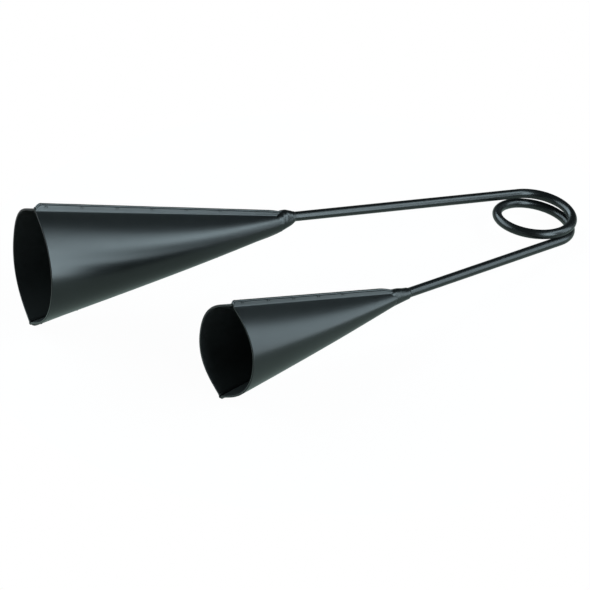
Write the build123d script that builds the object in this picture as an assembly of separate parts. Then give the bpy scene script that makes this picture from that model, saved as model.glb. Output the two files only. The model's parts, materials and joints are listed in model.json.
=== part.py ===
from build123d import *
import math
import os

# Double agogo bell: two sheet-steel bells of different pitch on one bent steel rod.
# Each bell is a pair of pressed half shells, spot welded together along their flanges.
# The rod turns one and a half times at the hand end, so the bells can be squeezed together.
# The instrument lies on a table, on the lower flange corner of each mouth and on the loop.
# Sizes are in millimetres, angles in degrees.

# Rod
ROD_DIAMETER = 6.0
LOOP_RADIUS = 23.6  # from the loop's axis to the middle of the rod
TURN_STEP = 6.8  # between the middles of the rod, where one turn lies over the next
LOOP_EASE = 90.0  # turn over which the rod levels out, at each end of the loop
ARM_SPREAD = 17.0  # angle between the two arms
LARGE_ARM = 158.0  # from the loop to the tip of the neck weld
SMALL_ARM = 133.5
ROD_STOP = 0.5  # from the rod's cut end, inside the neck weld, to the ends of the shells

# Sheet and seams
SHEET = 1.2
BEND_RADIUS = 1.5  # outside radius of the bend between wall and flange
FRONT_FLANGE_STEP_AT_MOUTH = 0.3  # how much lower the front flange is trimmed than the rear one
FRONT_FLANGE_STEP_AT_NECK = 0.5
WALL_ANGLE = 59.0  # between the seam and the wall, at the mouth
RUN_OUT_LENGTH = 6.0  # where the flange turns down to the neck weld
RUN_OUT_RADIUS = 12.0

# Large bell
LARGE_LENGTH = 163.0  # from the neck's end to the mouth
LARGE_MOUTH_HEIGHT = 80.0  # between the two flange bends
LARGE_MOUTH_WIDTH = 60.4
LARGE_SWELL = 4.5  # how far each wall bulges halfway along
LARGE_FLANGE_AT_MOUTH = 2.7  # width of the rear flange, beyond the bend
LARGE_FLANGE_AT_NECK = 1.2
LARGE_RUN_OUT = 0.3  # how far the flange turns down at the neck
LARGE_MOUTH_CORNER = 4.0  # rounding of the flange at the mouth
LARGE_NECK_DIAMETER = 11.4
LARGE_NECK_DROP = 3.0  # how far the neck's middle lies below the rod
LARGE_NECK_WELD = 9.5  # length of the weld between the neck and the bare rod
LARGE_WELD_LUMP = 1.9  # how much higher the weld stands on top than round the rest of the neck
LARGE_DROOP = 3.6  # how far the bell hangs below the line of its arm
LARGE_TOE_IN = 1.7  # how far the bell turns towards the other bell
LARGE_SPOT_WELDS = 6  # along each flange

# Small bell
SMALL_LENGTH = 126.5
SMALL_MOUTH_HEIGHT = 63.4
SMALL_MOUTH_WIDTH = 49.8
SMALL_SWELL = 1.6
SMALL_FLANGE_AT_MOUTH = 1.5
SMALL_FLANGE_AT_NECK = 1.4
SMALL_RUN_OUT = 1.3
SMALL_MOUTH_CORNER = 1.8
SMALL_NECK_DIAMETER = 9.2
SMALL_NECK_DROP = 0.0
SMALL_NECK_WELD = 13.0
SMALL_WELD_LUMP = 0.5
SMALL_DROOP = 0.9
SMALL_TOE_IN = 2.6
SMALL_SPOT_WELDS = 5

# Welds
NECK_WELD_RECESS = 0.2  # how far the weld lies below the outside of the neck
NECK_WELD_SHOULDER = 1.2  # how far it stands off the rod at its shoulder and at its tip
NECK_WELD_TIP = 0.4
NECK_WELD_SHOULDER_SHARE = 0.7  # place of the shoulder, where the weld turns blunt, along its length
WELD_FIT = 0.05  # between a weld and the steel that it fills or surrounds
SPOT_DIAMETER = 1.1
SPOT_DENT = 0.15  # depth of the electrode's mark
SPOT_MOUTH_MARGIN = 7.0  # from the mouth to the first spot weld
SPOT_NECK_MARGIN = 42.0  # from the neck to the last one

# Construction
TRIM_MARGIN = 4.0  # how far each shell is drawn past its trimmed edges
NECK_FLANK_SHARE = 0.93  # wall angle at the neck, against that of a plain round neck
REST_STEPS = 12  # repeats that settle the table under the instrument's three feet
GAP_SAMPLES = 400  # points along the loop, for measuring its gap to itself

rod_radius = ROD_DIAMETER / 2
loop_end = ROD_DIAMETER
half_spread = ARM_SPREAD / 2
bend_centre = SHEET + BEND_RADIUS


# The spring loop

wrap = 540 - ARM_SPREAD
loop_start_angle = 90 - half_spread
steady_end = wrap - LOOP_EASE
fall_rate = TURN_STEP / (360 - LOOP_EASE / 2)
loop_fall = fall_rate * steady_end


def loop_drop(turned):
    """How far the rod has come down after this many degrees: level at both ends, steady between."""
    first = min(turned, LOOP_EASE)
    steady = max(0, min(turned, steady_end) - LOOP_EASE)
    last = max(0, turned - steady_end)
    eased_in = first**2 / (2 * LOOP_EASE)
    eased_out = last - last**2 / (2 * LOOP_EASE)
    return fall_rate * (eased_in + steady + eased_out)


def loop_rate(turned):
    """How fast the rod comes down there, in millimetres for each degree."""
    return fall_rate * min(1, turned / LOOP_EASE, (wrap - turned) / LOOP_EASE)


def loop_point(turned):
    angle = math.radians(loop_start_angle - turned)
    height = loop_fall / 2 - loop_drop(turned)
    return Vector(LOOP_RADIUS * math.cos(angle), LOOP_RADIUS * math.sin(angle), height)


def loop_heading(turned):
    angle = math.radians(loop_start_angle - turned)
    fall = -math.degrees(loop_rate(turned)) / LOOP_RADIUS
    return Vector(math.sin(angle), -math.cos(angle), fall).normalized()


def biarc(start, heading_in, end, heading_out):
    """Two tangent arcs between two points, leaving and arriving along the given headings."""
    chord = end - start
    both = heading_in + heading_out
    square = 2 * (1 - heading_in.dot(heading_out))
    linear = chord.dot(both)
    reach = (math.sqrt(linear**2 + square * chord.dot(chord)) - linear) / square
    first_corner = start + heading_in * reach
    second_corner = end - heading_out * reach
    middle = (first_corner + second_corner) * 0.5
    return [
        TangentArc(start, middle, tangent=heading_in),
        TangentArc(middle, end, tangent=second_corner - first_corner),
    ]


quarter_turns = math.ceil(wrap / 90)
stations = [wrap * step / quarter_turns for step in range(quarter_turns + 1)]
large_arm_heading = loop_heading(0) * -1
small_arm_heading = loop_heading(wrap)
loop_start = loop_point(0) + large_arm_heading * loop_end
loop_finish = loop_point(wrap) + small_arm_heading * loop_end

loop_edges = [Line(loop_start, loop_point(0))]
for before, after in zip(stations, stations[1:]):
    loop_edges += biarc(loop_point(before), loop_heading(before), loop_point(after), loop_heading(after))
loop_edges.append(Line(loop_point(wrap), loop_finish))
loop_path = Wire(loop_edges)
loop_section = Plane(loop_start, z_dir=large_arm_heading * -1) * Circle(rod_radius)
spring_loop = sweep(loop_section, path=loop_path)

loop_points = [loop_path.position_at(step / GAP_SAMPLES) for step in range(GAP_SAMPLES + 1)]
half_turn_samples = math.ceil(math.pi * LOOP_RADIUS / loop_path.length * GAP_SAMPLES)
loop_gap = min(
    (loop_points[early] - loop_points[late]).length
    for early in range(GAP_SAMPLES + 1)
    for late in range(early + half_turn_samples, GAP_SAMPLES + 1)
) - ROD_DIAMETER
loop_section_volume = math.pi * rod_radius**2 * loop_path.length
print("loop: least gap to itself", round(loop_gap, 3), "mm")
print("loop: volume", round(spring_loop.volume, 1), "against", round(loop_section_volume, 1), "mm3")


# The bells


class Bell:
    """One bell on its arm, with a frame: x along the bell, y out of the front shell, z up."""

    def place(self, tangent, heading, arm, weld, lump, drop, turn_in, droop):
        """Puts the bell at the end of its arm."""
        self.arm_start = tangent + heading * loop_end
        self.arm_heading = heading
        self.arm_length = arm + weld - ROD_STOP - loop_end
        self.weld_length = weld
        self.weld_lump = lump
        turned = heading.rotate(Axis.Z, turn_in)
        lowering = math.radians(droop)
        axis = turned * math.cos(lowering) - Vector(0, 0, math.sin(lowering))
        front = Vector(0, 0, 1).cross(axis).normalized()
        up = axis.cross(front)
        neck = tangent + heading * (arm + weld) - up * drop
        self.frame = Plane(neck, x_dir=axis, z_dir=up)

    def shape(self, length, height, width, swell, neck_diameter):
        """Sets the form of the wall between the neck and the mouth."""
        self.length = length
        self.mouth_height = height / 2
        self.mouth_width = width / 2
        self.swell = swell
        self.neck_radius = neck_diameter / 2
        self.neck_height = math.sqrt((self.neck_radius + BEND_RADIUS) ** 2 - bend_centre**2)
        round_neck = 2 * math.degrees(math.atan((self.neck_radius - SHEET) / self.neck_height))
        self.neck_wall_angle = NECK_FLANK_SHARE * round_neck

    def seam(self, flange_at_mouth, flange_at_neck, run_out, corner, spot_count):
        """Sets the flanges and their spot welds."""
        self.flange_at_mouth = flange_at_mouth
        self.flange_at_neck = flange_at_neck
        self.run_out = run_out
        self.corner = corner
        self.spot_count = spot_count

    def between(self, at_neck, at_mouth, along):
        """A value that changes steadily from the neck to the mouth."""
        return at_neck + (at_mouth - at_neck) * along / self.length

    def bend_height(self, along):
        """Height of the bend between wall and flange above the bell's axis."""
        return self.between(self.neck_height, self.mouth_height, along)

    def half_width(self, along):
        share = along / self.length
        bulge = 4 * self.swell * share * (1 - share)
        return self.between(self.neck_radius, self.mouth_width, along) + bulge

    def wall_angle(self, along):
        return self.between(self.neck_wall_angle, WALL_ANGLE, along)

    def flange_width(self, along):
        return self.between(self.flange_at_neck, self.flange_at_mouth, along)

    def front_flange_step(self, along):
        return self.between(FRONT_FLANGE_STEP_AT_NECK, FRONT_FLANGE_STEP_AT_MOUTH, along)


large_bell = Bell()
large_bell.place(
    loop_point(0), large_arm_heading, LARGE_ARM, LARGE_NECK_WELD, LARGE_WELD_LUMP,
    LARGE_NECK_DROP, LARGE_TOE_IN, LARGE_DROOP,
)
large_bell.shape(LARGE_LENGTH, LARGE_MOUTH_HEIGHT, LARGE_MOUTH_WIDTH, LARGE_SWELL, LARGE_NECK_DIAMETER)
large_bell.seam(
    LARGE_FLANGE_AT_MOUTH, LARGE_FLANGE_AT_NECK, LARGE_RUN_OUT, LARGE_MOUTH_CORNER, LARGE_SPOT_WELDS
)

small_bell = Bell()
small_bell.place(
    loop_point(wrap), small_arm_heading, SMALL_ARM, SMALL_NECK_WELD, SMALL_WELD_LUMP,
    SMALL_NECK_DROP, -SMALL_TOE_IN, SMALL_DROOP,
)
small_bell.shape(SMALL_LENGTH, SMALL_MOUTH_HEIGHT, SMALL_MOUTH_WIDTH, SMALL_SWELL, SMALL_NECK_DIAMETER)
small_bell.seam(
    SMALL_FLANGE_AT_MOUTH, SMALL_FLANGE_AT_NECK, SMALL_RUN_OUT, SMALL_MOUTH_CORNER, SMALL_SPOT_WELDS
)


def shell_section(bell, along):
    """The front half shell, cut square to the bell: a belly arc, two flat flanks, bends and flanges."""
    height = bell.bend_height(along)
    width = bell.half_width(along)
    angle = bell.wall_angle(along)
    lean = math.radians(angle)
    flank = (width - SHEET) / math.tan(lean / 2) - height
    belly_radius = (height - flank * math.cos(lean)) / math.sin(lean) - BEND_RADIUS
    belly_centre = width - belly_radius
    flange_top = height + bell.flange_at_mouth + TRIM_MARGIN

    def skin(inset):
        """One face of the sheet, from flange to flange; inset is its depth below the outside."""
        bend = BEND_RADIUS + inset
        belly = belly_radius - inset
        face = SHEET - inset
        bend_end = Vector(bend_centre - bend * math.cos(lean), height - bend * math.sin(lean))
        belly_end = Vector(belly_centre + belly * math.cos(lean), belly * math.sin(lean))
        return [
            Line((face, flange_top), (face, height)),
            CenterArc((bend_centre, height), bend, 180, angle),
            Line(bend_end, belly_end),
            CenterArc((belly_centre, 0), belly, -angle, 2 * angle),
            Line((belly_end.X, -belly_end.Y), (bend_end.X, -bend_end.Y)),
            CenterArc((bend_centre, -height), bend, 180 - angle, angle),
            Line((face, -height), (face, -flange_top)),
        ]

    edges = [Line((0, end), (SHEET, end)) for end in (flange_top, -flange_top)]
    across = Plane((along, 0, 0), x_dir=(0, 1, 0), z_dir=(1, 0, 0))
    return across * make_face(skin(0) + skin(SHEET) + edges)


def trim_outline(bell, step):
    """Side outline of a trimmed half shell; step(along) is how far its flange is cut back."""

    def edge(along):
        return bell.bend_height(along) + bell.flange_width(along) - step(along)

    upper = [
        (0, edge(0) - bell.run_out),
        (RUN_OUT_LENGTH, edge(RUN_OUT_LENGTH)),
        (bell.length, edge(bell.length)),
    ]
    lower = [(along, -height) for along, height in reversed(upper)]
    outline = make_face(Polyline(*upper, *lower, close=True))
    outline = fillet(outline.vertices().group_by(Axis.X)[1], RUN_OUT_RADIUS)
    return fillet(outline.vertices().group_by(Axis.X)[-1], bell.corner)


def spot_places(bell):
    """Middles of the spot welds on both flanges, as seen from the side."""
    spacing = (bell.length - SPOT_NECK_MARGIN - SPOT_MOUTH_MARGIN) / (bell.spot_count - 1)
    places = []
    for index in range(bell.spot_count):
        along = SPOT_NECK_MARGIN + spacing * index
        height = bell.bend_height(along) + (bell.flange_width(along) - bell.front_flange_step(along)) / 2
        places += [(along, height), (along, -height)]
    return places


def seam_pin(place, diameter, half_length):
    """A round pin through both flanges, square to the seam."""
    along, height = place
    across = Plane((along, 0, height), x_dir=(1, 0, 0), z_dir=(0, 1, 0))
    return across * Cylinder(diameter / 2, 2 * half_length)


def half_shell(bell, step, rear):
    """One half shell: drawn past its edges, trimmed to its outline and pierced at the spot welds."""
    stations = [-TRIM_MARGIN, bell.length / 2, bell.length + TRIM_MARGIN]
    drawn = loft([shell_section(bell, along) for along in stations])
    blank = extrude(Plane.XZ * trim_outline(bell, step), bell.mouth_width + TRIM_MARGIN, both=True)
    shell = drawn & blank
    if rear:
        shell = mirror(shell, Plane.XZ)
    for place in spot_places(bell):
        shell -= seam_pin(place, SPOT_DIAMETER, SHEET + WELD_FIT)
    return bell.frame * shell


def seam_welds(bell):
    """The spot welds of one bell, each a disc with a shallow dent on both sides."""
    diameter = SPOT_DIAMETER - 2 * WELD_FIT
    nuggets = [seam_pin(place, diameter, SHEET - SPOT_DENT) for place in spot_places(bell)]
    return bell.frame * Compound(nuggets)


def rod_arm(bell):
    """The straight arm of the rod, from the loop to its cut end in the neck weld."""
    along = Plane(bell.arm_start, z_dir=bell.arm_heading)
    return along * Cylinder(rod_radius, bell.arm_length, align=(Align.CENTER, Align.CENTER, Align.MIN))


def neck_weld(bell):
    """Blunt cone of weld metal that joins the rod's end to the ends of the shells."""
    along = bell.arm_heading
    rod_end = bell.arm_start + along * bell.arm_length
    tip = rod_end - along * (bell.weld_length - ROD_STOP)
    neck = bell.frame.origin
    shoulder = neck + (tip - neck) * NECK_WELD_SHOULDER_SHARE
    toe_radius = bell.neck_radius - NECK_WELD_RECESS
    toe_middle = neck + bell.frame.z_dir * bell.weld_lump / 2
    front = bell.frame.y_dir
    toe = Plane(toe_middle, x_dir=front, z_dir=bell.frame.x_dir * -1)
    rings = [toe * Ellipse(toe_radius, toe_radius + bell.weld_lump / 2)]
    for middle, stand_off in ((shoulder, NECK_WELD_SHOULDER), (tip, NECK_WELD_TIP)):
        rings.append(Plane(middle, x_dir=front, z_dir=along * -1) * Circle(rod_radius + stand_off))
    bead = loft(rings, ruled=True)
    bore_length = bell.weld_length + TRIM_MARGIN
    bore = Cylinder(rod_radius + WELD_FIT, bore_length, align=(Align.CENTER, Align.CENTER, Align.MIN))
    return bead - Plane(rod_end, z_dir=along * -1) * bore


def flush(along):
    """A flange that isn't cut back."""
    return 0


nodes = {"spring_loop": spring_loop}
for name, bell in {"large_bell": large_bell, "small_bell": small_bell}.items():
    nodes[name + "_arm"] = rod_arm(bell)
    nodes[name + "_neck_weld"] = neck_weld(bell)
    nodes[name + "_front_shell"] = half_shell(bell, bell.front_flange_step, rear=False)
    nodes[name + "_rear_shell"] = half_shell(bell, flush, rear=True)
    nodes[name + "_seam_welds"] = seam_welds(bell)


# The table under the instrument


def mouth_foot(bell, up):
    """Lowest point of a bell: the rounded lower corner of its rear flange."""
    outline = trim_outline(bell, flush)
    corner = outline.edges().filter_by(GeomType.CIRCLE).sort_by(Axis.Y)[0]
    centre = corner.arc_center
    down = up * -1
    in_seam = Vector(down.dot(bell.frame.x_dir), down.dot(bell.frame.z_dir)).normalized()
    foot = centre + Vector(in_seam.X, in_seam.Y) * bell.corner
    side = -SHEET if down.dot(bell.frame.y_dir) < 0 else 0
    return bell.frame.from_local_coords(Vector(foot.X, side, foot.Y))


def loop_foot(up):
    """Lowest point of the rod's turns."""
    lowest = min(loop_points, key=lambda point: point.dot(up))
    return lowest - up * rod_radius


up = Vector(0, 0, 1)
for repeat in range(REST_STEPS):
    feet = [mouth_foot(large_bell, up), mouth_foot(small_bell, up), loop_foot(up)]
    up = (feet[1] - feet[0]).cross(feet[2] - feet[0]).normalized()

table = Plane(feet[2], x_dir=Vector(1, 0, 0) - up * up.X, z_dir=up)
lying = {name: table.to_local_coords(node) for name, node in nodes.items()}
box = Compound(lying.values()).bounding_box()
centre = Vector(box.center().X, box.center().Y, box.min.Z)
loop_axis = table.to_local_coords(Vector(0, 0, 1) + table.origin)
loop_middle = table.to_local_coords(Vector(0, 0, 0)) - centre
print("box", [round(size, 2) for size in box.size], "mm")
print("loop middle", [round(value, 3) for value in loop_middle], "axis", [round(v, 5) for v in loop_axis])

os.makedirs("parts", exist_ok=True)
for name, node in lying.items():
    export_step(Pos(*(centre * -1)) * node, os.path.join("parts", name + ".step"))
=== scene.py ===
import json
import math

import bmesh
import bpy
import numpy as np
from mathutils import Matrix, Quaternion, Vector, noise


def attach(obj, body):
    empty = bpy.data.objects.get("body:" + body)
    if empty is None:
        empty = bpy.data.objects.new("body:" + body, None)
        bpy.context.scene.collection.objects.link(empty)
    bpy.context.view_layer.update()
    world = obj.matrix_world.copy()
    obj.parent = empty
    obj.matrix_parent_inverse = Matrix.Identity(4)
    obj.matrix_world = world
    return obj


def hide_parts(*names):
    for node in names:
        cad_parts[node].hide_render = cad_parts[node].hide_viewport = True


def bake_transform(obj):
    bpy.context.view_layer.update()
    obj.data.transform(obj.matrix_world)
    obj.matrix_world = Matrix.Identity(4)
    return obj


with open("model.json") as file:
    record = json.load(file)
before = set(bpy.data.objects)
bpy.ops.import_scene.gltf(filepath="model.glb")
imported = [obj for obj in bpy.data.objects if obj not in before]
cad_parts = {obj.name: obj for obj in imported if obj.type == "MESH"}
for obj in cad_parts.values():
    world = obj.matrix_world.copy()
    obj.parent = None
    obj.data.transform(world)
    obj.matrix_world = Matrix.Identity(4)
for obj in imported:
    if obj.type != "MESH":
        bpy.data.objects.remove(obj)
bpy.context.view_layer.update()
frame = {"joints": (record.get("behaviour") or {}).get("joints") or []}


# The rod's spring loop: the hand end of one 6 mm round steel bar, wound one and a half turns, so that
# the hand can squeeze the two bells together. It is bent cold and powder coated black.

ROD_RADIUS = 0.0030
LOOP_RADIUS = 0.0236  # from the loop's axis to the middle of the bar
TURN_STEP = 0.0068  # from one turn down to the next
TURN_EASE = 90.0  # degrees over which the bar levels out, at each end of the loop
ARM_SPREAD = 17.0  # degrees between the two arms
LOOP_END = 0.0060  # straight bar at each end of the loop
LOOP_STEPS = 192
ROD_SIDES = 40
SHARP_ANGLE = 50.0  # degrees from which an edge is shown sharp

# The squeeze joint turns about the loop's own axis, so it gives the handle's place on the table.
squeeze = frame["joints"][0]
handle_z = -Vector(squeeze["axis"]).normalized()
handle_x = Vector((handle_z.z, 0.0, -handle_z.x)).normalized()
handle_y = handle_z.cross(handle_x)
loop_middle = Vector(squeeze["pos_m"])
handle = Matrix((handle_x, handle_y, handle_z)).transposed().to_4x4()
handle.translation = loop_middle

loop_turn = 540.0 - ARM_SPREAD
steady_end = loop_turn - TURN_EASE
fall_rate = TURN_STEP / (360.0 - TURN_EASE / 2)
loop_fall = fall_rate * steady_end


def loop_point(turned):
    """Middle of the bar after this many degrees of the loop, in the handle's own frame."""
    eased_in = min(turned, TURN_EASE) ** 2 / (2 * TURN_EASE)
    steady = max(0.0, min(turned, steady_end) - TURN_EASE)
    last = max(0.0, turned - steady_end)
    eased_out = last - last**2 / (2 * TURN_EASE)
    angle = math.radians(90.0 - ARM_SPREAD / 2 - turned)
    height = loop_fall / 2 - fall_rate * (eased_in + steady + eased_out)
    return Vector((LOOP_RADIUS * math.cos(angle), LOOP_RADIUS * math.sin(angle), height))


def arm_heading(side):
    """Direction of an arm, away from the loop: side is 1 for the large bell and -1 for the small one."""
    half = math.radians(ARM_SPREAD / 2)
    return Vector((-math.cos(half), side * math.sin(half), 0.0))


COAT_DARK = (0.0028, 0.0034, 0.0034, 1.0)
COAT_LIGHT = (0.0042, 0.0050, 0.0050, 1.0)
COAT_INSIDE_PAINTED_FILL = (0.024, 0.026, 0.025, 1.0)  # painted fill light: a paler colour on the inner skin, so the shaded insides of the bells show lighter
CLOUD_SIZE = 0.022
GLOSS_SPOT_SIZE = 0.006
GLOSS_SPREAD = 0.015
NOISE_LOW = 0.3  # a noise texture's values mostly lie between these
NOISE_HIGH = 0.7


def powder_coat(name, roughness, peel_size, peel_depth):
    """Black satin powder coat: a cloudy near-black tone, uneven gloss, a fine orange peel, and a paler
    colour on inner faces as painted fill light.
    """
    material = bpy.data.materials.new(name)
    material.use_nodes = True
    nodes = material.node_tree.nodes
    links = material.node_tree.links
    shader = nodes["Principled BSDF"]
    place = nodes.new("ShaderNodeTexCoord")

    def speckle(size, detail):
        texture = nodes.new("ShaderNodeTexNoise")
        texture.inputs["Scale"].default_value = 1.0 / size
        texture.inputs["Detail"].default_value = detail
        links.new(place.outputs["Object"], texture.inputs["Vector"])
        return texture.outputs["Fac"]

    def spread(value, low, high):
        scale = nodes.new("ShaderNodeMapRange")
        scale.inputs["From Min"].default_value = NOISE_LOW
        scale.inputs["From Max"].default_value = NOISE_HIGH
        scale.inputs["To Min"].default_value = low
        scale.inputs["To Max"].default_value = high
        links.new(value, scale.inputs["Value"])
        return scale.outputs["Result"]

    tone = nodes.new("ShaderNodeMix")
    tone.data_type = "RGBA"
    tone.inputs["A"].default_value = COAT_DARK
    tone.inputs["B"].default_value = COAT_LIGHT
    links.new(spread(speckle(CLOUD_SIZE, 3.0), 0.0, 1.0), tone.inputs["Factor"])
    # Painted fill light: faces marked inside get a paler base colour, so the shaded insides of the bells
    # show lighter.
    inner_face_mask = nodes.new("ShaderNodeAttribute")
    inner_face_mask.attribute_name = "inside"
    painted_inside_fill = nodes.new("ShaderNodeMix")
    painted_inside_fill.data_type = "RGBA"
    painted_inside_fill.inputs["B"].default_value = COAT_INSIDE_PAINTED_FILL
    links.new(inner_face_mask.outputs["Fac"], painted_inside_fill.inputs["Factor"])
    links.new(tone.outputs["Result"], painted_inside_fill.inputs["A"])
    links.new(painted_inside_fill.outputs["Result"], shader.inputs["Base Color"])
    gloss = spread(speckle(GLOSS_SPOT_SIZE, 4.0), roughness - GLOSS_SPREAD, roughness + GLOSS_SPREAD)
    links.new(gloss, shader.inputs["Roughness"])
    peel = nodes.new("ShaderNodeBump")
    peel.inputs["Strength"].default_value = 1.0
    peel.inputs["Distance"].default_value = peel_depth
    links.new(speckle(peel_size, 2.0), peel.inputs["Height"])
    links.new(peel.outputs["Normal"], shader.inputs["Normal"])
    return material


rod_coat = powder_coat("black_coat_on_rod", roughness=0.29, peel_size=0.0016, peel_depth=0.000006)

# Sweeps a round bar along a line of points, closes its ends and paints it.
rod_tree = bpy.data.node_groups.new("round_bar_along_line", "GeometryNodeTree")
rod_inputs = {}
for label, kind in (
    ("Line", "NodeSocketGeometry"),
    ("Bar radius", "NodeSocketFloat"),
    ("Bar sides", "NodeSocketInt"),
    ("Coat", "NodeSocketMaterial"),
):
    socket = rod_tree.interface.new_socket(name=label, in_out="INPUT", socket_type=kind)
    rod_inputs[label] = socket.identifier
rod_tree.interface.new_socket(name="Bar", in_out="OUTPUT", socket_type="NodeSocketGeometry")
tree_in = rod_tree.nodes.new("NodeGroupInput")
tree_out = rod_tree.nodes.new("NodeGroupOutput")
line = rod_tree.nodes.new("GeometryNodeMeshToCurve")
section = rod_tree.nodes.new("GeometryNodeCurvePrimitiveCircle")
swept = rod_tree.nodes.new("GeometryNodeCurveToMesh")
swept.inputs["Fill Caps"].default_value = True
real = rod_tree.nodes.new("GeometryNodeRealizeInstances")
painted = rod_tree.nodes.new("GeometryNodeSetMaterial")
for start, end in (
    (tree_in.outputs["Line"], line.inputs["Mesh"]),
    (tree_in.outputs["Bar radius"], section.inputs["Radius"]),
    (tree_in.outputs["Bar sides"], section.inputs["Resolution"]),
    (line.outputs["Curve"], swept.inputs["Curve"]),
    (section.outputs["Curve"], swept.inputs["Profile Curve"]),
    (swept.outputs["Mesh"], real.inputs["Geometry"]),
    (real.outputs["Geometry"], painted.inputs["Geometry"]),
    (tree_in.outputs["Coat"], painted.inputs["Material"]),
    (painted.outputs["Geometry"], tree_out.inputs["Bar"]),
):
    rod_tree.links.new(start, end)


def made_plain(piece):
    """Turns what the piece's nodes make into its own plain mesh, and removes the nodes."""
    evaluated = piece.evaluated_get(bpy.context.evaluated_depsgraph_get())
    finished = bpy.data.meshes.new_from_object(evaluated)
    piece.modifiers.clear()
    piece.data = finished
    finished.shade_smooth()
    finished.set_sharp_from_angle(angle=math.radians(SHARP_ANGLE))
    return piece


def round_bar(name, points):
    """A piece of the bar through these points of the handle's frame."""
    guide = bpy.data.meshes.new(name)
    steps = [(step, step + 1) for step in range(len(points) - 1)]
    guide.from_pydata([handle @ point for point in points], steps, [])
    piece = bpy.data.objects.new(name, guide)
    bpy.context.scene.collection.objects.link(piece)
    sweep = piece.modifiers.new("bar", "NODES")
    sweep.node_group = rod_tree
    sweep[rod_inputs["Bar radius"]] = ROD_RADIUS
    sweep[rod_inputs["Bar sides"]] = ROD_SIDES
    sweep[rod_inputs["Coat"]] = rod_coat
    return made_plain(piece)


loop_line = [loop_point(loop_turn * step / LOOP_STEPS) for step in range(LOOP_STEPS + 1)]
loop_line.insert(0, loop_line[0] + arm_heading(1) * LOOP_END)
loop_line.append(loop_line[-1] + arm_heading(-1) * LOOP_END)
spring_loop = round_bar("spring_loop_bar", loop_line)
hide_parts("spring_loop")
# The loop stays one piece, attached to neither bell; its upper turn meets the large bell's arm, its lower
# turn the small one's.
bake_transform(spring_loop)


# The two arms: the straight ends of the same steel bar, coated with the rest. Each ends inside the weld at
# the narrow end of its bell, which holds it.

LARGE_ARM = 0.1580  # from the loop to the tip of the neck weld
SMALL_ARM = 0.1335
LARGE_NECK_WELD = 0.0095  # from there to the end of the bell
SMALL_NECK_WELD = 0.0130
ROD_STOP = 0.0005  # from the bar's cut end to the end of the bell

ARMS = {
    "large_bell": (1, LARGE_ARM, LARGE_NECK_WELD, loop_point(0.0)),
    "small_bell": (-1, SMALL_ARM, SMALL_NECK_WELD, loop_point(loop_turn)),
}

for bell_name, (side, arm_length, weld_length, tangent) in ARMS.items():
    arm_start = tangent + arm_heading(side) * LOOP_END
    arm_end = tangent + arm_heading(side) * (arm_length + weld_length - ROD_STOP)
    arm = round_bar(bell_name + "_arm_bar", [arm_start, arm_end])
    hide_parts(bell_name + "_arm")
    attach(arm, bell_name + "_side")


# The bells: each is two half shells, pressed from 1.2 mm sheet steel and laid flange to flange. The rear
# half's flange stands a little proud of the front one. The black coat softens the cut edges. Inside, the
# coat is painted paler, as painted fill light on the shaded insides.

SHEET = 0.0012
BEND_RADIUS = 0.0015
FRONT_STEP_AT_MOUTH = 0.0003  # how much lower the front flange is trimmed
FRONT_STEP_AT_NECK = 0.0005
FLANGE_LEAN = {"large_bell": 16.0, "small_bell": 24.0}  # degrees that the flanges lean back
WALL_ANGLE = 59.0  # degrees between the seam and the wall, at the mouth
NECK_FLANK_SHARE = 0.93
FLANK_PULL = 0.10  # how straight the wall starts below the bend
FLANK_PULL_RATE = 0.55
BELLY_PULL = 1.18  # how round the belly is
FULLER_FLANK_PULL = 0.16  # what makes a wall squarer, as the rear half is above, at the mouth
FULLER_BELLY_PULL = 0.12
REAR_FULLER_ABOVE = {"large_bell": 1.2, "small_bell": 0.45}
REAR_FULLER_BELOW = {"large_bell": -0.1, "small_bell": 0.2}
RUN_OUT_CURVE = 1.6  # how suddenly the flange turns down at the neck
FLANGE_ROWS = (0.88, 0.5, 0.12)  # rows of points on the flat of a flange
BEND_STEPS = 6
WALL_STEPS = 36
EDGE_SOFTNESS = 0.00035  # depth over which a cut edge is rounded by the coat
EDGE_ROWS = 4  # rows of points on a cut edge
NECK_EDGE_ROWS = 3
CORNER_ROWS = 14
CORNER_REACH = 1.3  # how far from the mouth the rows lie closer, in corner radii
ROW_STEP = 0.0020
TRIM_WANDER = 0.00010  # how far the trimmed flange edge wanders
TRIM_WAVES = 90.0  # how often it does, per metre
WALL_WANDER = 0.00012  # how far the pressed wall is off its true form
WALL_WAVES = 28.0
WANDER_COLUMNS = 8  # columns of points over which the wall's wander sets in, below the bend
WANDER_LENGTH = 0.03  # length over which it sets in, from the neck


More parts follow.
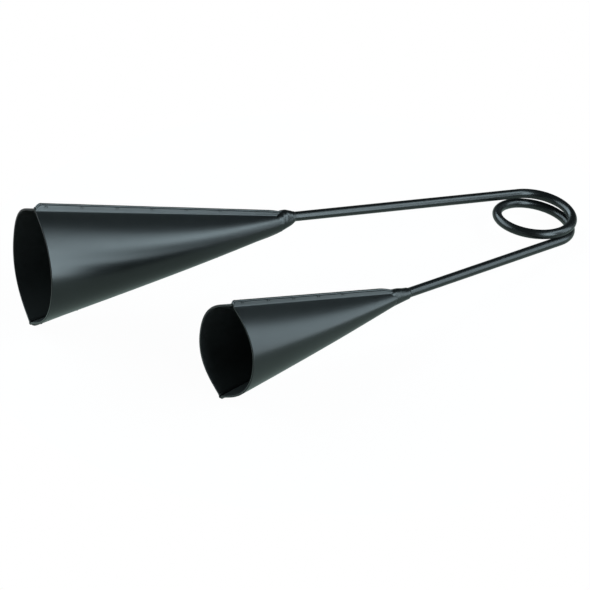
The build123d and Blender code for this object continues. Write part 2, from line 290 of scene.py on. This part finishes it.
class Bell:
    """One bell, and its frame: x along the bell, y out of the front half, z up."""

    def __init__(self, name, length, height, width, swell, neck_diameter):
        self.name = name
        self.length = length
        self.half_height = height / 2
        self.half_width = width / 2
        self.swell = swell
        self.neck_radius = neck_diameter / 2
        self.neck_height = math.sqrt((self.neck_radius + BEND_RADIUS) ** 2 - (SHEET + BEND_RADIUS) ** 2)
        round_neck = 2 * math.degrees(math.atan((self.neck_radius - SHEET) / self.neck_height))
        self.neck_wall_angle = NECK_FLANK_SHARE * round_neck

    def hang(self, drop, droop, toe_in):
        """Puts the bell at the end of its arm: drop is how far its neck lies below the bar."""
        side, arm_length, weld_length, tangent = ARMS[self.name]
        heading = arm_heading(side)
        turned = Matrix.Rotation(math.radians(side * toe_in), 3, "Z") @ heading
        lowering = math.radians(droop)
        along = turned * math.cos(lowering) - Vector((0.0, 0.0, math.sin(lowering)))
        front = Vector((0.0, 0.0, 1.0)).cross(along).normalized()
        up = along.cross(front)
        axes = Matrix((along, front, up)).transposed().to_4x4()
        axes.translation = tangent + heading * (arm_length + weld_length) - up * drop
        self.frame = handle @ axes
        self.weld_tip = handle @ (tangent + heading * arm_length)
        self.arm_direction = handle.to_3x3() @ heading

    def trim(self, flange_at_mouth, flange_at_neck, run_out, run_out_length, corner, spots):
        """Sets the flanges: run_out is their fall at the neck, corner their rounding at the mouth."""
        self.flange_at_mouth = flange_at_mouth
        self.flange_at_neck = flange_at_neck
        self.run_out = run_out
        self.run_out_length = run_out_length
        self.corner = corner
        self.spots = spots

    def between(self, at_neck, at_mouth, along):
        """A size that changes evenly from the neck to the mouth."""
        return at_neck + (at_mouth - at_neck) * along / self.length

    def bend_height(self, along):
        """Height of the bend between wall and flange, above the bell's middle line."""
        return self.between(self.neck_height, self.half_height, along)

    def flange_edge(self, along, rear):
        """Height of the flange edge before its ends are rounded."""
        flange = self.between(self.flange_at_neck, self.flange_at_mouth, along)
        if not rear:
            flange -= self.between(FRONT_STEP_AT_NECK, FRONT_STEP_AT_MOUTH, along)
        return self.bend_height(along) + flange

    def flange_top(self, along, rear):
        """Height of the trimmed flange edge, rounded at the mouth and run out at the neck."""
        top = self.flange_edge(along, rear)
        top -= self.run_out * max(0.0, 1.0 - along / self.run_out_length) ** RUN_OUT_CURVE
        slope = math.atan2(top - self.flange_edge(0.0, rear), along) if along > 0.0 else 0.0
        corner_start = self.length - self.corner * (1.0 + math.sin(slope))
        if along > corner_start:
            middle = self.length - self.corner
            level = self.flange_edge(middle, rear) - self.corner / math.cos(slope)
            top = level + math.sqrt(max(0.0, self.corner**2 - (along - middle) ** 2))
        return top


LARGE_BELL = Bell(
    "large_bell", length=0.1630, height=0.0800, width=0.0604, swell=0.0045, neck_diameter=0.0114
)
LARGE_BELL.hang(drop=0.0030, droop=3.6, toe_in=1.7)
LARGE_BELL.trim(
    flange_at_mouth=0.0027,
    flange_at_neck=0.0012,
    run_out=0.0006,
    run_out_length=0.0075,
    corner=0.0040,
    spots=6,
)
SMALL_BELL = Bell(
    "small_bell", length=0.1265, height=0.0634, width=0.0498, swell=0.0016, neck_diameter=0.0092
)
SMALL_BELL.hang(drop=0.0, droop=0.9, toe_in=2.6)
SMALL_BELL.trim(
    flange_at_mouth=0.0015,
    flange_at_neck=0.0014,
    run_out=0.0013,
    run_out_length=0.0110,
    corner=0.0018,
    spots=5,
)


def soft_steps(count):
    """Distances from a cut edge, closer together towards it."""
    return [EDGE_SOFTNESS * (1.0 - math.cos(math.pi / 2 * step / count)) for step in range(count + 1)]


def edge_share(distance):
    """Share of the sheet's thickness that is left this far from a cut edge."""
    missing = max(0.0, 1.0 - distance / EDGE_SOFTNESS)
    return (1.0 - missing**3) ** (1.0 / 3.0)


def wall_half(bell, rear, along, inset, top, edge_depths, fuller):
    """One skin of the sheet cut square to the bell, from a flange edge to the middle of the belly."""
    height = bell.bend_height(along)
    share = along / bell.length
    width = bell.between(bell.neck_radius, bell.half_width, along) + 4 * bell.swell * share * (1 - share)
    lean = math.radians(bell.between(bell.neck_wall_angle, WALL_ANGLE, along))
    flank = (width - SHEET) / math.tan(lean / 2) - height
    belly_radius = (height - flank * math.cos(lean)) / math.sin(lean) - BEND_RADIUS
    bend = BEND_RADIUS + inset
    bend_middle = SHEET + BEND_RADIUS
    flange_lean = math.radians(-FLANGE_LEAN[bell.name] if rear else FLANGE_LEAN[bell.name])
    bend_start = flange_lean if inset == 0.0 and not rear else 0.0
    foot = Vector((bend_middle - bend * math.cos(bend_start), height - bend * math.sin(bend_start)))
    column = []
    flat = max(0.0, top - edge_depths[-1] - foot.y)
    levels = [top - depth for depth in edge_depths]
    levels += [foot.y + flat * up for up in FLANGE_ROWS]
    for level in levels:
        column.append((foot.x - math.tan(flange_lean) * max(0.0, level - foot.y), level))
    for step in range(BEND_STEPS + 1):
        angle = bend_start + (lean - bend_start) * step / BEND_STEPS
        column.append((bend_middle - bend * math.cos(angle), height - bend * math.sin(angle)))
    # From the bend to the middle of the belly, the wall curves more and more.
    bend_end = Vector(
        (bend_middle - BEND_RADIUS * math.cos(lean), height - BEND_RADIUS * math.sin(lean))
    )
    belly_end = Vector((width, 0.0))
    corner = Vector((width, belly_radius * math.tan(lean / 2)))
    flank_pull = FLANK_PULL + FLANK_PULL_RATE * flank / belly_radius + FULLER_FLANK_PULL * fuller
    near = bend_end + (corner - bend_end) * flank_pull
    far = belly_end + (corner - belly_end) * (BELLY_PULL + FULLER_BELLY_PULL * fuller)
    for step in range(1, WALL_STEPS + 1):
        down = step / WALL_STEPS
        left = 1.0 - down
        point = bend_end * left**3
        point += near * (3 * left**2 * down)
        point += far * (3 * left * down**2)
        point += belly_end * down**3
        slope = (near - bend_end) * left**2
        slope += (far - near) * (2 * left * down)
        slope += (belly_end - far) * down**2
        outward = Vector((-slope.y, slope.x)).normalized()
        column.append(tuple(point - outward * inset))
    return column


def wall_column(bell, rear, along, inset, top, edge_depths):
    """One skin of the sheet, from the upper flange edge to the lower one."""
    mouth_share = (along / bell.length) ** 2 if rear else 0.0
    fuller_above = REAR_FULLER_ABOVE[bell.name] * mouth_share
    fuller_below = REAR_FULLER_BELOW[bell.name] * mouth_share
    upper = wall_half(bell, rear, along, inset, top, edge_depths, fuller_above)
    lower = wall_half(bell, rear, along, inset, top, edge_depths, fuller_below)
    return upper + [(y, -z) for y, z in reversed(lower[:-1])]


def half_shell(bell, rear, coat):
    """One half shell as a closed mesh: two skins of the sheet that meet in softened edges."""
    name = bell.name + ("_rear" if rear else "_front") + "_half"
    edge_depths = soft_steps(EDGE_ROWS)
    from_mouth = list(edge_depths)
    for step in range(CORNER_ROWS):
        depth = CORNER_REACH * bell.corner * (1.0 - math.sin(math.pi / 2 * step / CORNER_ROWS))
        if depth > EDGE_SOFTNESS:
            from_mouth.append(depth)
    from_mouth = sorted(set(from_mouth))
    rows = soft_steps(NECK_EDGE_ROWS)
    span = bell.length - CORNER_REACH * bell.corner - rows[-1]
    inner_rows = math.ceil(span / ROW_STEP)
    rows += [rows[-1] + span * step / inner_rows for step in range(1, inner_rows)]
    rows += [bell.length - depth for depth in reversed(from_mouth)]
    skins = ([], [])
    shares = []
    for along in rows:
        wander = noise.noise(Vector((along * TRIM_WAVES, 3.0 if rear else 7.0, bell.length * 100)))
        top = bell.flange_top(along, rear) - TRIM_WANDER * (0.5 + 0.5 * wander)
        for skin, inset in zip(skins, (0.0, SHEET)):
            column = wall_column(bell, rear, along, inset, top, edge_depths)
            skin.append([(along, y, z) for y, z in column])
        across = len(skins[0][-1])
        end_share = edge_share(along) * edge_share(bell.length - along)
        column = [end_share] * across
        for step, depth in enumerate(edge_depths):
            column[step] *= edge_share(depth)
            column[across - 1 - step] *= edge_share(depth)
        shares.append(column)
    outer = np.array(skins[0])
    inner = np.array(skins[1])
    shares = np.array(shares)[..., None]
    middle = (outer + inner) / 2
    half = (outer - inner) / 2 * shares
    points = np.concatenate([(middle + half).reshape(-1, 3), (middle - half).reshape(-1, 3)])
    row_count, across = shares.shape[:2]
    flange_columns = len(edge_depths) + len(FLANGE_ROWS) + BEND_STEPS
    for index in range(len(points)):
        column = index % across
        from_edge = min(column, across - 1 - column) - flange_columns
        along = points[index, 0]
        fade = min(1.0, max(0.0, from_edge / WANDER_COLUMNS)) * min(1.0, along / WANDER_LENGTH)
        if fade > 0.0:
            spot = Vector(points[index]) * WALL_WAVES
            spot += Vector((0.0, 5.0 if rear else 0.0, bell.length * 50))
            points[index, 1] -= WALL_WANDER * fade * (0.5 + 0.5 * noise.noise(spot))
    if rear:
        points[:, 1] *= -1.0

    faces = []
    skin_size = row_count * across
    for row in range(row_count - 1):
        for column in range(across - 1):
            corner = row * across + column
            quad = (corner, corner + across, corner + across + 1, corner + 1)
            faces.append(quad)
            faces.append(tuple(skin_size + index for index in reversed(quad)))
    mesh = bpy.data.meshes.new(name)
    mesh.from_pydata([bell.frame @ Vector(point) for point in points], [], faces)
    # Every second face is on the inner skin, which the coat paints paler as painted fill light.
    inside = mesh.attributes.new("inside", "FLOAT", "FACE")
    inside.data.foreach_set("value", [float(index % 2) for index in range(len(faces))])
    return finished_solid(name, mesh, coat)


def finished_solid(name, mesh, coat):
    """Closes a mesh, turns its faces outwards, smooths it and puts it in the scene."""
    solid = bmesh.new()
    solid.from_mesh(mesh)
    bmesh.ops.remove_doubles(solid, verts=solid.verts, dist=1e-7)
    bmesh.ops.recalc_face_normals(solid, faces=solid.faces)
    if solid.calc_volume(signed=True) < 0.0:
        bmesh.ops.reverse_faces(solid, faces=solid.faces)
    solid.to_mesh(mesh)
    solid.free()
    mesh.shade_smooth()
    mesh.materials.append(coat)
    piece = bpy.data.objects.new(name, mesh)
    bpy.context.scene.collection.objects.link(piece)
    return piece


shell_coat = powder_coat("black_coat_on_sheet", roughness=0.29, peel_size=0.0012, peel_depth=0.000005)

for bell in (LARGE_BELL, SMALL_BELL):
    for rear in (False, True):
        half = half_shell(bell, rear, shell_coat)
        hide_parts(bell.name + ("_rear_shell" if rear else "_front_shell"))
        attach(half, bell.name + "_side")


# The spot welds: the two steel flanges of each bell are pinched together by a row of small round welds.
# Each leaves a shallow ring on both sides of the flange, under the coat.

SPOT_RADIUS = 0.0008
SPOT_LIP = 0.00016
SPOT_SIDES = 20
SPOT_LIP_SIDES = 8
SPOT_MOUTH_MARGIN = 0.0070
SPOT_NECK_MARGIN = 0.0420

spot_tree = bpy.data.node_groups.new("spot_weld_marks", "GeometryNodeTree")
spot_inputs = {}
for label, kind in (
    ("Places", "NodeSocketGeometry"),
    ("Ring radius", "NodeSocketFloat"),
    ("Lip radius", "NodeSocketFloat"),
    ("Coat", "NodeSocketMaterial"),
):
    socket = spot_tree.interface.new_socket(name=label, in_out="INPUT", socket_type=kind)
    spot_inputs[label] = socket.identifier
spot_tree.interface.new_socket(name="Marks", in_out="OUTPUT", socket_type="NodeSocketGeometry")
tree_in = spot_tree.nodes.new("NodeGroupInput")
tree_out = spot_tree.nodes.new("NodeGroupOutput")
ring = spot_tree.nodes.new("GeometryNodeCurvePrimitiveCircle")
ring.inputs["Resolution"].default_value = SPOT_SIDES
lip = spot_tree.nodes.new("GeometryNodeCurvePrimitiveCircle")
lip.inputs["Resolution"].default_value = SPOT_LIP_SIDES
mark = spot_tree.nodes.new("GeometryNodeCurveToMesh")
facing = spot_tree.nodes.new("GeometryNodeInputNamedAttribute")
facing.data_type = "FLOAT_VECTOR"
facing.inputs["Name"].default_value = "facing"
turn = spot_tree.nodes.new("FunctionNodeAlignRotationToVector")
turn.axis = "Z"
repeat = spot_tree.nodes.new("GeometryNodeInstanceOnPoints")
real = spot_tree.nodes.new("GeometryNodeRealizeInstances")
painted = spot_tree.nodes.new("GeometryNodeSetMaterial")
for start, end in (
    (tree_in.outputs["Places"], repeat.inputs["Points"]),
    (tree_in.outputs["Ring radius"], ring.inputs["Radius"]),
    (tree_in.outputs["Lip radius"], lip.inputs["Radius"]),
    (ring.outputs["Curve"], mark.inputs["Curve"]),
    (lip.outputs["Curve"], mark.inputs["Profile Curve"]),
    (mark.outputs["Mesh"], repeat.inputs["Instance"]),
    (facing.outputs["Attribute"], turn.inputs["Vector"]),
    (turn.outputs["Rotation"], repeat.inputs["Rotation"]),
    (repeat.outputs["Instances"], real.inputs["Geometry"]),
    (real.outputs["Geometry"], painted.inputs["Geometry"]),
    (tree_in.outputs["Coat"], painted.inputs["Material"]),
    (painted.outputs["Geometry"], tree_out.inputs["Marks"]),
):
    spot_tree.links.new(start, end)

for bell in (LARGE_BELL, SMALL_BELL):
    places = []
    directions = []
    spacing = (bell.length - SPOT_NECK_MARGIN - SPOT_MOUTH_MARGIN) / (bell.spots - 1)
    for index in range(bell.spots):
        along = SPOT_NECK_MARGIN + spacing * index
        middle = (bell.bend_height(along) + bell.flange_top(along, False)) / 2
        lean_back = math.tan(math.radians(FLANGE_LEAN[bell.name])) * (middle - bell.bend_height(along))
        for upper in (1, -1):
            for front in (1, -1):
                places.append(bell.frame @ Vector((along, front * SHEET - lean_back, upper * middle)))
                directions.append(bell.frame.to_3x3() @ Vector((0.0, front, 0.0)))
    name = bell.name + "_spot_marks"
    guide = bpy.data.meshes.new(name)
    guide.from_pydata(places, [], [])
    stored = guide.attributes.new("facing", "FLOAT_VECTOR", "POINT")
    stored.data.foreach_set("vector", np.array(directions, np.float32).ravel())
    marks = bpy.data.objects.new(name, guide)
    bpy.context.scene.collection.objects.link(marks)
    pattern = marks.modifiers.new("marks", "NODES")
    pattern.node_group = spot_tree
    pattern[spot_inputs["Ring radius"]] = SPOT_RADIUS
    pattern[spot_inputs["Lip radius"]] = SPOT_LIP
    pattern[spot_inputs["Coat"]] = shell_coat
    made_plain(marks)
    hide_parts(bell.name + "_seam_welds")
    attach(marks, bell.name + "_side")


# The neck welds: a hand-laid steel weld closes the narrow end of each bell and holds the bar. It is a blunt
# cone, dressed smooth and coated, with a low lump on top that runs back beside the end of the flange.

WELD_TOE = 0.00010  # how far the weld stands proud of the neck
WELD_LAP = 0.0060  # how far the lump runs back, on both sides of the flange
WELD_LAP_DEPTH = 0.0003  # how far the rest of it lies under the sheet's outside there
WELD_SHOULDERS = {"large_bell": 0.0044, "small_bell": 0.0038}  # radius where the weld turns blunt
WELD_SHOULDER_AT = 0.74  # share of the weld's length, where that is
WELD_TIP_RADIUS = 0.0034
WELD_TIP_AT = 0.93
WELD_TIP_ROUNDING = 0.0002
WELD_LUMPS = {"large_bell": 0.0019, "small_bell": 0.0011}
WELD_LUMP_LEVEL = 0.22  # share of the weld's length over which the lump keeps its height
WELD_LUMP_END = 0.92
WELD_ROUGHNESS = 0.00007
WELD_WAVES_ALONG = 3.6  # how often the roughness changes, along the weld
WELD_WAVES_AROUND = 1.5
WELD_FINER_WAVES = 2.3  # how much closer the finer roughness lies
WELD_SMOOTH_START = 0.15  # share of the weld's length over which the roughness sets in
WELD_SMOOTH_END = 0.10
WELD_FIT = 0.00005
WELD_ROWS = 48
WELD_LAP_ROWS = 16
WELD_SIDES = 84
WELD_SHARP_ANGLE = 60.0

weld_coat = powder_coat("black_coat_on_weld", roughness=0.31, peel_size=0.0011, peel_depth=0.000008)


def bead_radius(bell, share, around):
    """Outside of the weld at this share of the way from the bell to the bare bar; around is 0 on top.

    A share below 0 is a share of the way back along the flange.
    """
    crest = max(0.0, math.cos(around)) ** 3
    if share < 0.0:
        sheet = bell.between(bell.neck_radius, bell.half_width, -share * WELD_LAP)
        rise = 0.5 + 0.5 * math.cos(math.pi * share)
        return sheet - WELD_LAP_DEPTH * min(1.0, -4 * share) + WELD_LUMPS[bell.name] * crest * rise
    stations = (0.0, WELD_SHOULDER_AT, WELD_TIP_AT, 1.0)
    radii = (
        bell.neck_radius + WELD_TOE,
        WELD_SHOULDERS[bell.name],
        WELD_TIP_RADIUS + WELD_TIP_ROUNDING,
        WELD_TIP_RADIUS - WELD_TIP_ROUNDING,
    )
    radius = float(np.interp(share, stations, radii))
    fall = (share - WELD_LUMP_LEVEL) / (WELD_LUMP_END - WELD_LUMP_LEVEL)
    level = 0.5 + 0.5 * math.cos(math.pi * min(1.0, max(0.0, fall)))
    lump = WELD_LUMPS[bell.name] * crest * level
    aside = math.cos(around) * WELD_WAVES_AROUND
    upward = math.sin(around) * WELD_WAVES_AROUND
    spot = Vector((share * WELD_WAVES_ALONG, aside, upward + bell.length * 40))
    rough = noise.noise(spot) + 0.5 * noise.noise(spot * WELD_FINER_WAVES)
    ends = min(1.0, share / WELD_SMOOTH_START, (1.0 - share) / WELD_SMOOTH_END)
    return radius + lump + ends * WELD_ROUGHNESS * rough


for bell in (LARGE_BELL, SMALL_BELL):
    neck = bell.frame.translation
    reach = bell.weld_tip - neck
    out = -bell.arm_direction
    up = bell.frame.to_3x3() @ Vector((0.0, 0.0, 1.0))
    up = (up - out * up.dot(out)).normalized()
    aside = out.cross(up)
    bar_end = bell.weld_tip - out * (ARMS[bell.name][2] - ROD_STOP)
    rings = []
    for row in range(WELD_LAP_ROWS, 0, -1):
        back = WELD_LAP * row / WELD_LAP_ROWS
        rings.append((bell.frame @ Vector((back, 0.0, 0.0)), -row / WELD_LAP_ROWS))
    rings += [(neck + reach * (row / WELD_ROWS), row / WELD_ROWS) for row in range(WELD_ROWS + 1)]
    rings += [(bell.weld_tip, None), (bar_end, None)]
    points = []
    for middle, share in rings:
        for step in range(WELD_SIDES):
            around = 2 * math.pi * step / WELD_SIDES
            radius = ROD_RADIUS + WELD_FIT if share is None else bead_radius(bell, share, around)
            spoke = up * math.cos(around) + aside * math.sin(around)
            points.append(middle + spoke * radius)
    faces = []
    for row in range(len(rings) - 1):
        for step in range(WELD_SIDES):
            here = row * WELD_SIDES
            there = here + WELD_SIDES
            beside = (step + 1) % WELD_SIDES
            faces.append((here + step, here + beside, there + beside, there + step))
    last = (len(rings) - 1) * WELD_SIDES
    faces.append(tuple(range(WELD_SIDES)))
    faces.append(tuple(range(last, last + WELD_SIDES)))
    mesh = bpy.data.meshes.new(bell.name + "_neck_bead")
    mesh.from_pydata(points, [], faces)
    bead = finished_solid(bell.name + "_neck_bead", mesh, weld_coat)
    bead.data.set_sharp_from_angle(angle=math.radians(WELD_SHARP_ANGLE))
    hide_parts(bell.name + "_neck_weld")
    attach(bead, bell.name + "_side")


# The floor: a small round table under white paper. It shows white to the camera and pale in reflections,
# and takes the instrument's shadow from the lamps.

FLOOR_RADIUS = 0.230
FLOOR_SIDES = 96
FLOOR_GAP = 0.00005
FLOOR_SHOWN_WHITE = 0.97
FLOOR_MIRRORED_WHITE = 0.50
FLOOR_MIRRORED_TINT = (0.76, 1.0, 0.93, 1.0)
PAPER = (0.92, 0.92, 0.92, 1.0)
PAPER_ROUGHNESS = 0.9

floor_mesh = bpy.data.meshes.new("floor")
floor_rim = []
for step in range(FLOOR_SIDES):
    angle = 2 * math.pi * step / FLOOR_SIDES
    floor_rim.append((FLOOR_RADIUS * math.cos(angle), FLOOR_RADIUS * math.sin(angle), -FLOOR_GAP))
floor_mesh.from_pydata(floor_rim, [], [tuple(range(FLOOR_SIDES))])
floor = bpy.data.objects.new("floor", floor_mesh)
bpy.context.scene.collection.objects.link(floor)
paper = bpy.data.materials.new("white_paper")
paper.use_nodes = True
paper_nodes = paper.node_tree.nodes
paper_links = paper.node_tree.links
paper_shader = paper_nodes["Principled BSDF"]
paper_shader.inputs["Base Color"].default_value = PAPER
paper_shader.inputs["Roughness"].default_value = PAPER_ROUGHNESS
paper_shader.inputs["Specular IOR Level"].default_value = 0.0
glow = paper_nodes.new("ShaderNodeEmission")
seen = paper_nodes.new("ShaderNodeLightPath")


def floor_math(operation, first, second):
    """One sum on the light path's values; each side is a socket or a number."""
    node = paper_nodes.new("ShaderNodeMath")
    node.operation = operation
    for socket, value in zip(node.inputs, (first, second)):
        if isinstance(value, float):
            socket.default_value = value
        else:
            paper_links.new(value, socket)
    return node.outputs[0]


mirrored = floor_math("MAXIMUM", seen.outputs["Is Glossy Ray"], seen.outputs["Is Transmission Ray"])
direct = floor_math("MULTIPLY", seen.outputs["Is Camera Ray"], FLOOR_SHOWN_WHITE)
shown = floor_math("MAXIMUM", direct, mirrored)
dimming = floor_math("MULTIPLY", mirrored, 1.0 - FLOOR_MIRRORED_WHITE)
paper_links.new(floor_math("SUBTRACT", 1.0, dimming), glow.inputs["Strength"])
shade = paper_nodes.new("ShaderNodeMix")
shade.data_type = "RGBA"
shade.inputs["A"].default_value = (1.0, 1.0, 1.0, 1.0)
shade.inputs["B"].default_value = FLOOR_MIRRORED_TINT
paper_links.new(mirrored, shade.inputs["Factor"])
paper_links.new(shade.outputs["Result"], glow.inputs["Color"])
both = paper_nodes.new("ShaderNodeMixShader")
paper_links.new(shown, both.inputs[0])
paper_links.new(paper_shader.outputs[0], both.inputs[1])
paper_links.new(glow.outputs[0], both.inputs[2])
paper_links.new(both.outputs[0], paper_nodes["Material Output"].inputs["Surface"])
floor_mesh.materials.append(paper)


# The light: tall softboxes in front and on the right make the bright bands on the bells, and one higher up
# softens the bands' upper edge. A weak one on the left lights the rims, and one behind lights the far side.
# The room is dim above and paler below, and shows white to the camera.

ROOM_TONE = (0.034, 0.041, 0.044, 1.0)
ROOM_FLOOR_WHITE = 0.30  # how white the room below the table is, in reflections
LAMP_TINT = (0.73, 0.92, 1.00)
LAMP_TARGET = Vector((0.0, 0.0, 0.04))

world = bpy.data.worlds.new("dim_room")
bpy.context.scene.world = world
world.use_nodes = True
room_nodes = world.node_tree.nodes
room_links = world.node_tree.links
room = room_nodes["Background"]
room.inputs["Strength"].default_value = 1.0
direction = room_nodes.new("ShaderNodeTexCoord")
split = room_nodes.new("ShaderNodeSeparateXYZ")
room_links.new(direction.outputs["Generated"], split.inputs["Vector"])
below = room_nodes.new("ShaderNodeMath")
below.operation = "LESS_THAN"
below.inputs[1].default_value = 0.0
room_links.new(split.outputs["Z"], below.inputs[0])
lower = room_nodes.new("ShaderNodeMath")
lower.operation = "MULTIPLY"
lower.inputs[1].default_value = ROOM_FLOOR_WHITE
room_links.new(below.outputs[0], lower.inputs[0])
looked_at = room_nodes.new("ShaderNodeLightPath")
whiteness = room_nodes.new("ShaderNodeMath")
whiteness.operation = "MAXIMUM"
room_links.new(looked_at.outputs["Is Camera Ray"], whiteness.inputs[0])
room_links.new(lower.outputs[0], whiteness.inputs[1])
backdrop = room_nodes.new("ShaderNodeMix")
backdrop.data_type = "RGBA"
backdrop.inputs["A"].default_value = ROOM_TONE
backdrop.inputs["B"].default_value = (1.0, 1.0, 1.0, 1.0)
room_links.new(whiteness.outputs[0], backdrop.inputs["Factor"])
room_links.new(backdrop.outputs["Result"], room.inputs["Color"])


def softbox(name, centre, width, height, radiance, tilt=0.0):
    """A rectangular lamp that faces the instrument; tilt turns it in its own plane, in degrees."""
    lamp = bpy.data.lights.new(name, "AREA")
    lamp.shape = "RECTANGLE"
    lamp.size = width
    lamp.size_y = height
    lamp.energy = radiance * math.pi * width * height
    lamp.color = LAMP_TINT
    holder = bpy.data.objects.new(name, lamp)
    holder.location = centre
    facing = (LAMP_TARGET - Vector(centre)).to_track_quat("-Z", "Y")
    holder.rotation_euler = (facing @ Quaternion((0.0, 0.0, 1.0), math.radians(tilt))).to_euler()
    bpy.context.scene.collection.objects.link(holder)


softbox("front_softbox", (0.270, -1.272, 0.438), width=0.68, height=1.40, radiance=7.0)
softbox("right_softbox", (1.152, -0.665, 0.323), width=0.72, height=1.70, radiance=3.5)
softbox("upper_softbox", (0.698, -0.698, 0.976), width=1.05, height=0.46, radiance=4.3, tilt=13.0)
softbox("left_softbox", (-1.268, -0.364, 0.369), width=0.90, height=0.50, radiance=0.7)
softbox("rear_softbox", (-0.564, 1.060, 0.678), width=2.20, height=1.00, radiance=4.5)


# The camera: the photograph's place and angle, tilted a little to its left.

IMAGE_SIDE = 590.0
FOCAL_PIXELS = 2970.45
SENSOR = 36.0

eye = bpy.data.cameras.new("photo_camera")
eye.sensor_fit = "HORIZONTAL"
eye.sensor_width = SENSOR
eye.lens = SENSOR * FOCAL_PIXELS / IMAGE_SIDE
eye.clip_start = 0.05
eye.clip_end = 200.0
camera = bpy.data.objects.new("photo_camera", eye)
right = Vector((0.833551, -0.552106, 0.019272)).normalized()
forward = Vector((0.477791, 0.702962, -0.526839)).normalized()
above = right.cross(forward)
stand = Matrix((right, above, -forward)).transposed().to_4x4()
stand.translation = Vector((-0.882314, -1.259944, 0.950693))
camera.matrix_world = stand
bpy.context.scene.collection.objects.link(camera)
bpy.context.scene.camera = camera
bpy.context.scene.view_settings.view_transform = "Standard"
